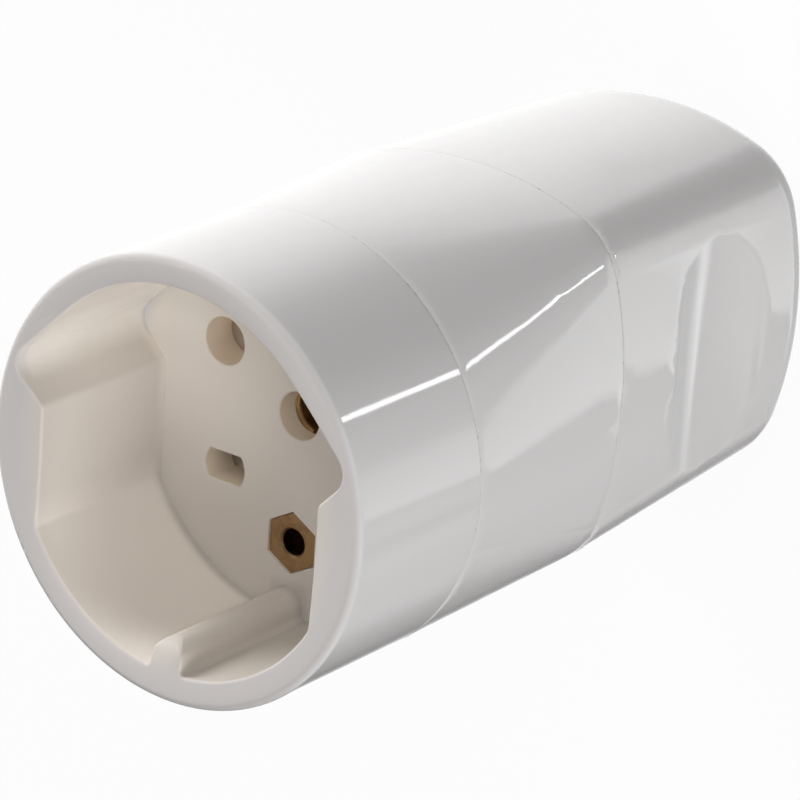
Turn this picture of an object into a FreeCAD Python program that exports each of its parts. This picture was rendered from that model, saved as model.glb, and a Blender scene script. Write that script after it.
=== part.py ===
import FreeCAD, Part
import math
import os
import re
import Sketcher

# Inline socket connector, five poles, standing on its rear end with the socket facing up.
# The axis is Z, X runs along the row of round pins and Y points from the key rib to that row.

# Driving dimensions, in millimetres and degrees
DIMENSIONS = {
    # Shell along its axis, depths counted from the rim
    "overall_length": 82.0,
    "front_seam_depth": 18.4,
    "rear_seam_depth": 44.0,
    "seam_edge": 0.2,
    # Shell outline at the front, and how far it draws in at the rear seam and at the rear end
    "shell_radius": 22.0,
    "seam_side_draw": 2.2,
    "seam_height_draw": 1.65,
    "seam_corner": 8.0,
    "seam_middle": 1.25,
    "end_side_draw": 4.05,
    "end_height_draw": 2.85,
    "end_corner": 9.6,
    "end_middle": 1.75,
    "end_round": 6.7,
    "crown_angle": 20.0,
    "flank_angle": 16.0,
    # Plug recess
    "recess_depth": 18.6,
    "rim_wall": 2.95,
    "flat_inset": 2.5,
    "flat_round": 1.0,
    "notch_wall": 1.24,
    "notch_slope": 45.0,
    "notch_round": 2.2,
    "rib_width": 3.6,
    "rib_height": 3.1,
    "rib_root": 0.5,
    "rim_inner_round": 0.3,
    "rim_land": 0.1,
    "floor_thickness": 4.0,
    # Pin layout, from the row of round pins
    "row_height": 6.65,
    "row_pitch": 19.0,
    "earth_drop": 5.0,
    "flat_pitch": 17.4,
    "flat_drop": 12.8,
    "nut_drop": 18.1,
    "hole_radius": 2.4,
    "hole_edge": 0.25,
    "flat_hole_rise": 1.5,
    # Joints between the mouldings
    "front_lip": 1.0,
    "front_gap": 0.1,
    "rear_wall": 2.3,
    "rear_gap": 0.15,
    "rear_lip": 1.2,
    "rear_lip_length": 3.0,
    # Contact carrier
    "deck_thickness": 5.3,
    "chamber_radius": 3.45,
    "chamber_depth": 13.3,
    "tower_wall": 1.1,
    "tower_floor": 2.0,
    "arm_half_width": 7.5,
    "arm_thickness": 2.4,
    "arm_height": 13.2,
    "saddle_shoulder": 9.0,
    # Contacts
    "pin_bore": 2.1,
    "pin_bore_depth": 9.0,
    "lead_in": 0.4,
    "sleeve_radius": 3.0,
    "sleeve_slot": 0.6,
    "collar_length": 3.0,
    "contact_gap": 0.05,
    "contact_setback": 1.8,
    "earth_lead": 1.4,
    "fork_gap": 1.15,
    "fork_leaf": 0.9,
    "fork_half_width": 2.0,
    "tail_radius": 2.0,
    "tail_length": 5.6,
    # Steel rings and clips on the contacts
    "ring_setback": 1.2,
    "ring_height": 1.8,
    "ring_thickness": 0.45,
    "groove_depth": 0.3,
    "ring_angle": 330.0,
    "clip_thickness": 0.3,
    "clip_reach": 1.5,
    # Terminals and their screws
    "terminal_radius": 3.7,
    "terminal_length": 12.0,
    "wire_bore": 1.6,
    "wire_depth": 5.2,
    "terminal_screw_rise": 3.0,
    "terminal_screw_radius": 1.45,
    "terminal_head_radius": 2.4,
    "terminal_head_height": 1.4,
    "terminal_screw_lift": 0.1,
    "thread_gap": 0.03,
    "drive_slot": 0.6,
    "drive_depth": 0.7,
    # Nut and long screw that hold the mouldings together
    "nut_width": 5.5,
    "nut_height": 2.4,
    "nut_gap": 0.1,
    "nut_sink": 0.2,
    "nut_edge": 0.2,
    "screw_radius": 1.32,
    "screw_gap": 0.3,
    "screw_tip_depth": 0.9,
    "screw_head_radius": 2.75,
    "screw_head_height": 2.2,
    "screw_seat_height": 24.0,
    "well_floor": 3.0,
    "well_gap": 0.65,
    "well_wall": 1.2,
    # Rear housing
    "end_wall": 4.5,
    "cavity_inset": 7.0,
    "inlet_radius": 5.5,
    "inlet_round": 1.2,
    "dish_rear_height": 10.8,
    "dish_front_height": 28.6,
    "dish_depth": 1.8,
    # Cord clamp
    "cord_radius": 5.0,
    "clamp_height": 16.0,
    "saddle_length": 8.0,
    "clamp_length": 6.0,
    "clamp_half_width": 10.8,
    "clamp_screw_offset": 8.1,
    "clamp_horn": 1.5,
    "clamp_web": 2.7,
    "clamp_screw_radius": 1.25,
    "clamp_screw_length": 17.0,
    "clamp_head_radius": 2.4,
    "clamp_head_height": 1.8,
}

# Heights and places worked out from the driving dimensions
RIM = "overall_length"
FRONT_SEAM = "(overall_length - front_seam_depth)"
REAR_SEAM = "(overall_length - rear_seam_depth)"
FLOOR = "(overall_length - recess_depth)"
FLOOR_BACK = f"({FLOOR} - floor_thickness)"
DECK = f"({FLOOR_BACK} - front_gap)"
DECK_BACK = f"({DECK} - deck_thickness)"
SHOULDER = f"({DECK} - chamber_depth)"
TOWER_END = f"({SHOULDER} - tower_floor)"
COLLAR_TOP = f"({SHOULDER} + collar_length)"
CONTACT_TOP = f"({DECK} - contact_setback)"
EARTH_TOP = f"({DECK} + earth_lead)"
TAIL_END = f"({TOWER_END} - tail_length)"
TERMINAL_END = f"({TOWER_END} - terminal_length)"
TERMINAL_SCREW = f"({TERMINAL_END} + terminal_screw_rise)"
SEAM_HALF_WIDTH = "(shell_radius - seam_side_draw)"
END_HALF_WIDTH = "(shell_radius - end_side_draw)"
RECESS_RADIUS = "(shell_radius - rim_wall)"
FLAT_SIDE = f"({RECESS_RADIUS} - flat_inset)"
NOTCH_REACH = "(shell_radius - notch_wall - notch_round)"
RIM_ROUND = "(notch_wall - rim_inner_round - rim_land)"
COLLAR_RADIUS = "(chamber_radius - contact_gap)"
GROOVE_RADIUS = "(sleeve_radius - groove_depth)"
FORK_OUTER = "(fork_gap + fork_leaf)"
NUT_TOP = f"({FLOOR} - nut_sink)"
NUT_SEAT = f"({NUT_TOP} - nut_height)"
SCREW_HOLE = "(screw_radius + screw_gap)"
SCREW_WELL = "(screw_head_radius + well_gap)"
WELL_TOP = "(screw_seat_height + well_floor)"
EARTH_Y = "(row_height - earth_drop)"
FLAT_Y = "(row_height - flat_drop)"
NUT_Y = "(row_height - nut_drop)"
INLET_Y = "end_middle"
SADDLE_TOP = f"({INLET_Y} + cord_radius)"
SADDLE_FOOT = f"({SADDLE_TOP} - clamp_horn)"
BAR_BOTTOM = f"({INLET_Y} - cord_radius - clamp_web)"
BAR_TOP = f"({INLET_Y} - cord_radius + clamp_horn)"
LIP_INSET = "(rear_wall + rear_gap)"
HOLLOW_INSET = f"({LIP_INSET} + rear_lip)"

# Half width, half height, corner radius and middle height of each shell outline
SHELL_FORMS = {
    "round": ("shell_radius", "shell_radius", "shell_radius", "0"),
    "seam": (SEAM_HALF_WIDTH, "(shell_radius - seam_height_draw)", "seam_corner", "seam_middle"),
    "end": (END_HALF_WIDTH, "(shell_radius - end_height_draw)", "end_corner", "end_middle"),
}

# Place of each pole and the way that its terminal screw points, as a turn about the axis
ROUND_POLES = {
    "line_one": ("row_pitch / 2", "row_height", 0),
    "neutral": ("-row_pitch / 2", "row_height", 180),
    "earth": ("0", EARTH_Y, -90),
}
FLAT_POLES = {
    "line_two": ("-flat_pitch / 2", FLAT_Y, 180),
    "line_three": ("flat_pitch / 2", FLAT_Y, 0),
}
POLES = {**ROUND_POLES, **FLAT_POLES}

# A sketch's own numbers for its axes and for the points of an edge
H_AXIS, V_AXIS = range(-1, -3, -1)
ORIGIN = H_AXIS
START, END, CENTRE = range(1, 4)
UP = FreeCAD.Vector(0, 0, 1)
NEAR = 1e-4

doc = FreeCAD.newDocument("inline_socket_connector")
sheet = doc.addObject("Spreadsheet::Sheet", "dims")
for row, (alias, size) in enumerate(DIMENSIONS.items(), start=1):
    sheet.set(f"A{row}", alias)
    sheet.set(f"B{row}", str(size))
    sheet.setAlias(f"B{row}", alias)
doc.recompute()


# Formulas and sketches


def linked(formula):
    """Point each size named in a formula at its cell."""
    return re.sub(r"\b([a-z]+(?:_[a-z]+)+)\b", r"dims.\1", formula)


def number(formula):
    """Work out a formula with the sizes now in the sheet."""
    result = sheet.evalExpression(linked(formula))
    return float(getattr(result, "Value", result))


def bowed(start, end, radius):
    """Arc that turns left from start to end, less than half a circle."""
    chord = end - start
    left = UP.cross(chord).normalize()
    rise = math.sqrt(max(radius ** 2 - chord.Length ** 2 / 4, 0))
    centre = start + chord * 0.5 + left * rise
    first = math.atan2(start.y - centre.y, start.x - centre.x)
    last = math.atan2(end.y - centre.y, end.x - centre.x)
    return Part.ArcOfCircle(Part.Circle(centre, UP, radius), first, last)


class Outline:
    """A sketch on a plane of its body, with every size tied to the sheet."""

    def __init__(self, body, name, height="0", plane="XY_Plane"):
        self.body = body
        self.sketch = body.newObject("Sketcher::SketchObject", name)
        support = next(item for item in body.Origin.OriginFeatures if item.Role == plane)
        self.sketch.AttachmentSupport = [(support, "")]
        self.sketch.MapMode = "FlatFace"
        self.sketch.setExpression("AttachmentOffset.Base.z", linked(height))

    def bind(self, kind, geometry, formula):
        """Add one size and tie it to the sheet."""
        rule = Sketcher.Constraint(kind, *geometry, number(formula))
        index = self.sketch.addConstraint(rule)
        self.sketch.setExpression(f"Constraints[{index}]", linked(formula))

    def hold(self, geometry, point, x, y):
        """Keep one point at the place that two formulas give."""
        for kind, formula, axis in (("DistanceX", x, V_AXIS), ("DistanceY", y, H_AXIS)):
            if formula == "0":
                self.sketch.addConstraint(Sketcher.Constraint("PointOnObject", geometry, point, axis))
            else:
                self.bind(kind, (ORIGIN, START, geometry, point), formula)

    def circle(self, x, y, radius):
        centre = FreeCAD.Vector(number(x), number(y), 0)
        index = self.sketch.addGeometry(Part.Circle(centre, UP, number(radius)), False)
        self.bind("Radius", (index,), radius)
        self.hold(index, CENTRE, x, y)
        return self

    def path(self, corners, arcs=None):
        """Close a run of edges through the corners, where arcs gives the radius of a bowed edge."""
        arcs = arcs or {}
        places = [FreeCAD.Vector(number(x), number(y), 0) for x, y in corners]
        edges = []
        for index, start in enumerate(places):
            end = places[(index + 1) % len(places)]
            if index in arcs:
                curve = bowed(start, end, number(arcs[index]))
            else:
                curve = Part.LineSegment(start, end)
            edges.append(self.sketch.addGeometry(curve, False))
        for index, edge in enumerate(edges):
            following = edges[(index + 1) % len(edges)]
            self.sketch.addConstraint(Sketcher.Constraint("Coincident", edge, END, following, START))
            self.hold(edge, START, *corners[index])
            if index in arcs:
                self.bind("Radius", (edge,), arcs[index])
        return self

    def box(self, low_x, low_y, high_x, high_y):
        return self.path([(low_x, low_y), (high_x, low_y), (high_x, high_y), (low_x, high_y)])


def shell_outline(body, name, height, form, inset="0"):
    """Eight tangent arcs: two flanks, a crown above and below, and four corners."""
    half_width, half_height, corner, middle = SHELL_FORMS[form]
    crown = "crown_angle * 1deg"
    flank = "flank_angle * 1deg"
    crown_share = f"tan({crown} / 2)"
    flank_share = f"tan({flank} / 2)"
    across = f"({half_width} - {corner})"
    along = f"({half_height} - {corner})"
    centre_x = f"(({across} - {along} * {flank_share}) / (1 - {crown_share} * {flank_share}))"
    centre_y = f"({along} - {centre_x} * {crown_share})"
    radius = f"({corner} - {inset})"
    flank_x = f"({centre_x} + {radius} * cos({flank}))"
    flank_y = f"({centre_y} + {radius} * sin({flank}))"
    crown_x = f"({centre_x} + {radius} * sin({crown}))"
    crown_y = f"({centre_y} + {radius} * cos({crown}))"
    corners = [
        (flank_x, f"{middle} - {flank_y}"),
        (flank_x, f"{middle} + {flank_y}"),
        (crown_x, f"{middle} + {crown_y}"),
        (f"-{crown_x}", f"{middle} + {crown_y}"),
        (f"-{flank_x}", f"{middle} + {flank_y}"),
        (f"-{flank_x}", f"{middle} - {flank_y}"),
        (f"-{crown_x}", f"{middle} - {crown_y}"),
        (crown_x, f"{middle} - {crown_y}"),
    ]
    flank_radius = f"({radius} + {centre_y} / sin({flank}))"
    crown_radius = f"({radius} + {centre_x} / sin({crown}))"
    radii = [flank_radius, radius, crown_radius, radius] * 2
    return Outline(body, name, height).path(corners, dict(enumerate(radii)))


# Features


def new_body(label):
    body = doc.addObject("PartDesign::Body", label)
    body.Label = label
    return body


def finish_feature(body, feature, before, grows):
    """Recompute and make sure that the feature added or removed material."""
    doc.recompute()
    change = body.Shape.Volume - before
    if (change > 0) != grows or abs(change) < NEAR:
        raise RuntimeError(f"{feature.Name} changed the volume by {change}")
    return feature


def volume_of(body):
    return body.Shape.Volume if body.Tip else 0.0


def extrude(kind, outline, length, reverse=False, midplane=False):
    body = outline.body
    before = volume_of(body)
    feature = body.newObject(f"PartDesign::{kind}", f"{outline.sketch.Name}_{kind.lower()}")
    feature.Profile = outline.sketch
    feature.Reversed = reverse
    feature.Midplane = midplane
    feature.setExpression("Length", linked(length))
    return finish_feature(body, feature, before, kind == "Pad")


def pad_up(outline, length):
    return extrude("Pad", outline, length)


def pad_down(outline, length):
    return extrude("Pad", outline, length, reverse=True)


def pocket_down(outline, length):
    return extrude("Pocket", outline, length)


def pocket_up(outline, length):
    return extrude("Pocket", outline, length, reverse=True)


def loft(kind, first, second):
    body = first.body
    before = volume_of(body)
    feature = body.newObject(f"PartDesign::{kind}", f"{first.sketch.Name}_loft")
    feature.Profile = first.sketch
    feature.Sections = [second.sketch]
    feature.Ruled = True
    return finish_feature(body, feature, before, kind == "AdditiveLoft")


def revolve(outline, axis="V_Axis", angle="360"):
    body = outline.body
    before = volume_of(body)
    feature = body.newObject("PartDesign::Revolution", f"{outline.sketch.Name}_turned")
    feature.Profile = outline.sketch
    feature.ReferenceAxis = (outline.sketch, [axis])
    feature.setExpression("Angle", linked(angle))
    return finish_feature(body, feature, before, True)


def dress(kind, body, name, size, wanted):
    """Round or bevel the edges that a test picks out."""
    base = body.Tip
    names = [f"Edge{index}" for index, edge in enumerate(base.Shape.Edges, start=1) if wanted(edge)]
    if not names:
        raise RuntimeError(f"{name} finds no edge")
    feature = body.newObject(f"PartDesign::{kind}", name)
    feature.Base = (base, names)
    feature.setExpression("Radius" if kind == "Fillet" else "Size", linked(size))
    doc.recompute()
    if not feature.isValid():
        raise RuntimeError(f"{name} failed on {names}")
    return feature


def level(edge, height):
    """True where the whole edge lies at one height."""
    box = edge.BoundBox
    place = number(height)
    return abs(box.ZMin - place) < NEAR and abs(box.ZMax - place) < NEAR


def upright(edge, x, y):
    """True where the edge is a vertical line through a place, on either side of the middle."""
    ends = [vertex.Point for vertex in edge.Vertexes]
    if len(ends) != 2 or abs(ends[0].z - ends[1].z) < NEAR:
        return False
    return all(abs(abs(end.x) - x) < NEAR and abs(end.y - y) < NEAR for end in ends)


def reach(edge):
    """Greatest distance of an edge from the axis."""
    return max(math.hypot(point.x, point.y) for point in edge.discretize(24))


def place_body(body, x="0", y="0", turn=0):
    body.Placement = FreeCAD.Placement(FreeCAD.Vector(), FreeCAD.Rotation(UP, turn))
    body.setExpression("Placement.Base.x", linked(x))
    body.setExpression("Placement.Base.y", linked(y))
    return body


# Front housing: a cup with the plug recess, its key rib and the pierced floor


def recess_path():
    """Recess outline: two arcs, two flats and a rounded notch on each side, with its bowed edges.

    The notch's upper side touches both its own rounding and the recess arc, at the shoulder angle.
    """
    slope = "(notch_slope * 1deg)"
    shoulder = f"(asin(row_height / {NOTCH_REACH}) + acos(({RECESS_RADIUS} - notch_round) / {NOTCH_REACH}))"
    notch_x = f"sqrt({NOTCH_REACH} ^ 2 - row_height ^ 2)"
    notch_low_x = f"({notch_x} + notch_round * sin{slope})"
    notch_low_y = f"(row_height - notch_round * cos{slope})"
    flat_top = f"({notch_low_y} - ({notch_low_x} - {FLAT_SIDE}) * tan{slope})"
    flat_end = f"sqrt({RECESS_RADIUS} ^ 2 - {FLAT_SIDE} ^ 2)"
    right = [
        (FLAT_SIDE, f"-{flat_end}"),
        (FLAT_SIDE, flat_top),
        (notch_low_x, notch_low_y),
        (f"({notch_x} + notch_round * cos{shoulder})", f"row_height + notch_round * sin{shoulder}"),
        (f"({RECESS_RADIUS} * cos{shoulder})", f"{RECESS_RADIUS} * sin{shoulder}"),
    ]
    left = [(f"-{x}", y) for x, y in reversed(right)]
    arcs = {2: "notch_round", 4: RECESS_RADIUS, 6: "notch_round", 9: RECESS_RADIUS}
    return right + left, arcs


def pin_holes(outline, radius):
    """Round holes for the round pins and flat-sided ones for the flat pins."""
    for x, y, _ in ROUND_POLES.values():
        outline.circle(x, y, radius)
    half_flat = f"sqrt({radius} ^ 2 - flat_hole_rise ^ 2)"
    for x, y, _ in FLAT_POLES.values():
        low = f"{y} - flat_hole_rise"
        high = f"{y} + flat_hole_rise"
        near, far = f"{x} - {half_flat}", f"{x} + {half_flat}"
        outline.path([(far, low), (far, high), (near, high), (near, low)], {0: radius, 2: radius})
    return outline


def at_a_pole(edge):
    """True where the whole edge lies within one pin hole's radius of its pole."""
    limit = number("hole_radius") + NEAR
    points = edge.discretize(8)
    return any(
        all(math.hypot(point.x - number(x), point.y - number(y)) < limit for point in points)
        for x, y, _ in POLES.values())


def hexagon(outline, width):
    """Six-sided outline round the nut's place with a corner at the top."""
    corners = []
    for step in range(6):
        angle = f"{90 + 60 * step}deg"
        across = f"({width}) / sqrt(3)"
        corners.append((f"{across} * cos({angle})", f"{NUT_Y} + {across} * sin({angle})"))
    return outline.path(corners)


def build_front_housing():
    body = new_body("front_housing")
    barrel = Outline(body, "barrel", FRONT_SEAM).circle("0", "0", "shell_radius")
    pad_up(barrel, "front_seam_depth")
    spigot = Outline(body, "spigot", FRONT_SEAM).circle("0", "0", "shell_radius - front_lip - front_gap")
    pad_down(spigot, f"{FRONT_SEAM} - {FLOOR_BACK}")

    corners, arcs = recess_path()
    recess = Outline(body, "recess", RIM).path(corners, arcs)
    pocket_down(recess, "recess_depth")
    flat_low, flat_high = [(number(x), number(y)) for x, y in corners[:2]]
    dress("Fillet", body, "flat_fillet", "flat_round",
          lambda edge: upright(edge, *flat_low) or upright(edge, *flat_high))

    flank = f"(rib_height - rib_width / 2 - {RECESS_RADIUS})"
    crest = f"(rib_height - {RECESS_RADIUS})"
    root = f"-({RECESS_RADIUS} + rim_inner_round)"
    rib = Outline(body, "rib", FLOOR).path(
        [("rib_width / 2", root), ("rib_width / 2", flank), ("0", crest),
         ("-rib_width / 2", flank), ("-rib_width / 2", root)],
        {1: "rib_width / 2", 2: "rib_width / 2"})
    pad_up(rib, "recess_depth")
    rib_side = number("rib_width / 2")
    rib_foot = -math.sqrt(number(RECESS_RADIUS) ** 2 - rib_side ** 2)
    dress("Fillet", body, "rib_fillet", "rib_root", lambda edge: upright(edge, rib_side, rib_foot))

    holes = pin_holes(Outline(body, "pin_holes", FLOOR), "hole_radius")
    pocket_down(holes, "floor_thickness")
    dress("Fillet", body, "hole_fillet", "hole_edge", lambda edge: level(edge, FLOOR) and at_a_pole(edge))
    earth_seat = Outline(body, "earth_seat", FLOOR_BACK).circle("0", EARTH_Y, "chamber_radius")
    pocket_up(earth_seat, "earth_lead + front_gap")
    nut_seat = hexagon(Outline(body, "nut_seat", FLOOR), "nut_width + 2 * nut_gap")
    pocket_down(nut_seat, "nut_sink + nut_height")
    screw_way = Outline(body, "screw_way", FLOOR).circle("0", NUT_Y, SCREW_HOLE)
    pocket_down(screw_way, "floor_thickness")

    rim = number("shell_radius")
    dress("Fillet", body, "mouth_fillet", "rim_inner_round",
          lambda edge: level(edge, RIM) and reach(edge) < rim - NEAR)
    dress("Fillet", body, "rim_fillet", RIM_ROUND,
          lambda edge: level(edge, RIM) and abs(reach(edge) - rim) < NEAR)
    dress("Chamfer", body, "front_seam_bevel", "seam_edge",
          lambda edge: level(edge, FRONT_SEAM) and abs(reach(edge) - rim) < NEAR)
    return body


# Contact carrier: the middle moulding, with a deck, a tower for each contact and the cord saddle


def build_contact_carrier():
    body = new_body("contact_carrier")
    front = shell_outline(body, "carrier_front", FRONT_SEAM, "round")
    rear = shell_outline(body, "carrier_rear", REAR_SEAM, "seam")
    loft("AdditiveLoft", front, rear)
    dress("Chamfer", body, "carrier_seam_bevel", "seam_edge",
          lambda edge: level(edge, FRONT_SEAM) or level(edge, REAR_SEAM))
    lip = shell_outline(body, "carrier_lip", REAR_SEAM, "seam", LIP_INSET)
    pad_down(lip, "rear_lip_length")
    hollow = shell_outline(body, "carrier_hollow", f"{REAR_SEAM} - rear_lip_length", "seam", HOLLOW_INSET)
    pocket_up(hollow, f"{DECK_BACK} - {REAR_SEAM} + rear_lip_length")
    socket = Outline(body, "carrier_socket", FRONT_SEAM).circle("0", "0", "shell_radius - front_lip")
    pocket_down(socket, f"{FRONT_SEAM} - {DECK}")

    towers = Outline(body, "towers", DECK_BACK)
    chambers = Outline(body, "chambers", DECK)
    tail_holes = Outline(body, "tail_holes", SHOULDER)
    for x, y, _ in POLES.values():
        towers.circle(x, y, "chamber_radius + tower_wall")
        chambers.circle(x, y, "chamber_radius")
        tail_holes.circle(x, y, "tail_radius + contact_gap")
    pad_down(towers, f"{DECK_BACK} - {TOWER_END}")
    pocket_down(chambers, "chamber_depth")
    pocket_down(tail_holes, "tower_floor")
    screw_tower = Outline(body, "screw_tower", DECK_BACK).circle("0", NUT_Y, f"{SCREW_HOLE} + tower_wall")
    pad_down(screw_tower, f"{DECK_BACK} - {REAR_SEAM}")
    screw_bore = Outline(body, "screw_bore", DECK).circle("0", NUT_Y, SCREW_HOLE)
    pocket_down(screw_bore, f"{DECK} - {REAR_SEAM}")

    arm = Outline(body, "arm", DECK_BACK)
    arm.box("-arm_half_width", "arm_height - arm_thickness", "arm_half_width", "arm_height")
    pad_down(arm, f"{DECK_BACK} - clamp_height")
    saddle_front = "clamp_height + saddle_length / 2"
    saddle = Outline(body, "saddle", saddle_front).path([
        ("-clamp_half_width", SADDLE_FOOT),
        ("clamp_half_width", SADDLE_FOOT),
        ("clamp_half_width", "saddle_shoulder"),
        ("arm_half_width", "arm_height"),
        ("-arm_half_width", "arm_height"),
        ("-clamp_half_width", "saddle_shoulder"),
    ])
    pad_down(saddle, "saddle_length")
    groove = Outline(body, "cord_groove", saddle_front).circle("0", INLET_Y, "cord_radius")
    pocket_down(groove, "saddle_length")
    pilots = Outline(body, "clamp_pilots", f"-{SADDLE_FOOT}", "XZ_Plane")
    for side in ("", "-"):
        pilots.circle(f"{side}clamp_screw_offset", "clamp_height", "clamp_screw_radius + thread_gap")
    pocket_down(pilots, f"{BAR_BOTTOM} + clamp_screw_length + contact_gap - {SADDLE_FOOT}")
    return body


# Rear housing: the tapered grip with a finger dish on each side, the screw well and the cord inlet


def side_at(height):
    """Half width of the grip at the middle of its flank."""
    return f"({END_HALF_WIDTH} + ({SEAM_HALF_WIDTH} - {END_HALF_WIDTH}) * {height} / {REAR_SEAM})"


def dish_corners():
    """Outline of the finger dish seen from above; its last edge, from front to rear, is bowed into the grip."""
    outer = "(shell_radius + dish_depth)"
    return [
        (side_at("dish_rear_height"), "dish_rear_height"),
        (outer, "dish_rear_height"),
        (outer, "dish_front_height"),
        (side_at("dish_front_height"), "dish_front_height"),
    ]


def dish_radius():
    """Radius of the bow that is as deep as the dish."""
    half_chord = "((dish_front_height - dish_rear_height) / 2)"
    return f"(({half_chord} * {half_chord} + dish_depth * dish_depth) / (2 * dish_depth))"


def build_rear_housing():
    body = new_body("rear_housing")
    front = shell_outline(body, "grip_front", REAR_SEAM, "seam")
    end = shell_outline(body, "grip_end", "0", "end")
    loft("AdditiveLoft", front, end)
    dress("Chamfer", body, "grip_seam_bevel", "seam_edge", lambda edge: level(edge, REAR_SEAM))
    dress("Fillet", body, "end_fillet", "end_round", lambda edge: level(edge, "0"))

    dishes = Outline(body, "dishes", plane="XZ_Plane")
    right = dish_corners()
    bow = {len(right) - 1: dish_radius()}
    dishes.path(right, bow)
    dishes.path([(f"-{x}", y) for x, y in reversed(right)], bow)
    extrude("Pocket", dishes, "4 * shell_radius", midplane=True)

    cavity_front = shell_outline(body, "cavity_front", REAR_SEAM, "seam", "rear_wall")
    cavity_end = shell_outline(body, "cavity_end", "end_wall", "end", "cavity_inset")
    loft("SubtractiveLoft", cavity_front, cavity_end)
    rebate = shell_outline(body, "grip_rebate", REAR_SEAM, "seam", "rear_wall")
    pocket_down(rebate, "rear_lip_length + rear_gap")

    tube = Outline(body, "screw_tube", "end_wall").circle("0", NUT_Y, f"{SCREW_WELL} + well_wall")
    pad_up(tube, f"{WELL_TOP} - end_wall")
    well = Outline(body, "screw_well").circle("0", NUT_Y, SCREW_WELL)
    pocket_up(well, "screw_seat_height")
    seat = Outline(body, "screw_seat", "screw_seat_height").circle("0", NUT_Y, SCREW_HOLE)
    pocket_up(seat, "well_floor")
    inlet = Outline(body, "cord_inlet").circle("0", INLET_Y, "inlet_radius")
    pocket_up(inlet, "end_wall")
    inlet_radius = number("inlet_radius")
    dress("Fillet", body, "inlet_fillet", "inlet_round",
          lambda edge: level(edge, "0") and abs(edge.BoundBox.XMax - inlet_radius) < NEAR)
    return body


# Contacts and the steel springs round them


GROOVE_TOP = f"({CONTACT_TOP} - ring_setback)"
GROOVE_FOOT = f"({GROOVE_TOP} - ring_height - 2 * contact_gap)"
RING_FOOT = f"({GROOVE_FOOT} + contact_gap)"
RING_TOP = f"({GROOVE_TOP} - contact_gap)"

# Outline of the tail and collar that every contact has, from the axis outward and up
CONTACT_FOOT = [
    ("0", TAIL_END),
    ("tail_radius", TAIL_END),
    ("tail_radius", SHOULDER),
    (COLLAR_RADIUS, SHOULDER),
    (COLLAR_RADIUS, COLLAR_TOP),
]


def build_sleeve(pole, x, y, turn):
    """Turned sleeve with a bore for a round pin, split along its length."""
    body = new_body(f"{pole}_sleeve")
    top = EARTH_TOP if pole == "earth" else CONTACT_TOP
    bore_floor = f"({top} - pin_bore_depth)"
    profile = Outline(body, f"{pole}_profile", plane="XZ_Plane").path(CONTACT_FOOT + [
        ("sleeve_radius", COLLAR_TOP),
        ("sleeve_radius", GROOVE_FOOT),
        (GROOVE_RADIUS, GROOVE_FOOT),
        (GROOVE_RADIUS, GROOVE_TOP),
        ("sleeve_radius", GROOVE_TOP),
        ("sleeve_radius", top),
        ("pin_bore + lead_in", top),
        ("pin_bore", f"{top} - lead_in"),
        ("pin_bore", bore_floor),
        ("0", bore_floor),
    ])
    revolve(profile)
    slot = Outline(body, f"{pole}_slot", top)
    slot.box("-chamber_radius", "-sleeve_slot / 2", "chamber_radius", "sleeve_slot / 2")
    pocket_down(slot, f"{top} - {COLLAR_TOP} - sleeve_slot")
    return place_body(body, x, y, turn)


def build_fork(pole, x, y, turn):
    """Flat contact: two leaves, one above and one below the pin."""
    body = new_body(f"{pole}_fork")
    revolve(Outline(body, f"{pole}_profile", plane="XZ_Plane").path(CONTACT_FOOT + [("0", COLLAR_TOP)]))
    leaves = Outline(body, f"{pole}_leaves", COLLAR_TOP)
    leaves.box("-fork_half_width", "fork_gap", "fork_half_width", FORK_OUTER)
    leaves.box("-fork_half_width", f"-{FORK_OUTER}", "fork_half_width", "-fork_gap")
    pad_up(leaves, f"{CONTACT_TOP} - {COLLAR_TOP}")
    gap = number("fork_gap")
    dress("Chamfer", body, f"{pole}_lead_in", "lead_in",
          lambda edge: level(edge, CONTACT_TOP) and abs(abs(edge.CenterOfMass.y) - gap) < NEAR)
    return place_body(body, x, y, turn)


def build_ring(pole, x, y, turn):
    body = new_body(f"{pole}_ring")
    section = Outline(body, f"{pole}_ring_section", plane="XZ_Plane")
    section.box(f"{GROOVE_RADIUS} + thread_gap", RING_FOOT, f"{GROOVE_RADIUS} + ring_thickness", RING_TOP)
    revolve(section, angle="ring_angle")
    return place_body(body, x, y, turn)


def build_clip(pole, x, y, turn):
    """Strip bent round the two leaves, open on one side."""
    body = new_body(f"{pole}_clip")
    inner_x = "(fork_half_width + thread_gap)"
    inner_y = f"({FORK_OUTER} + thread_gap)"
    outer_x = f"({inner_x} + clip_thickness)"
    outer_y = f"({inner_y} + clip_thickness)"
    strip = Outline(body, f"{pole}_strip", RING_FOOT).path([
        ("-clip_reach", f"-{outer_y}"),
        (outer_x, f"-{outer_y}"),
        (outer_x, outer_y),
        ("-clip_reach", outer_y),
        ("-clip_reach", inner_y),
        (inner_x, inner_y),
        (inner_x, f"-{inner_y}"),
        ("-clip_reach", f"-{inner_y}"),
    ])
    pad_up(strip, "ring_height")
    return place_body(body, x, y, turn)


# Terminal blocks and screws


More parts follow.
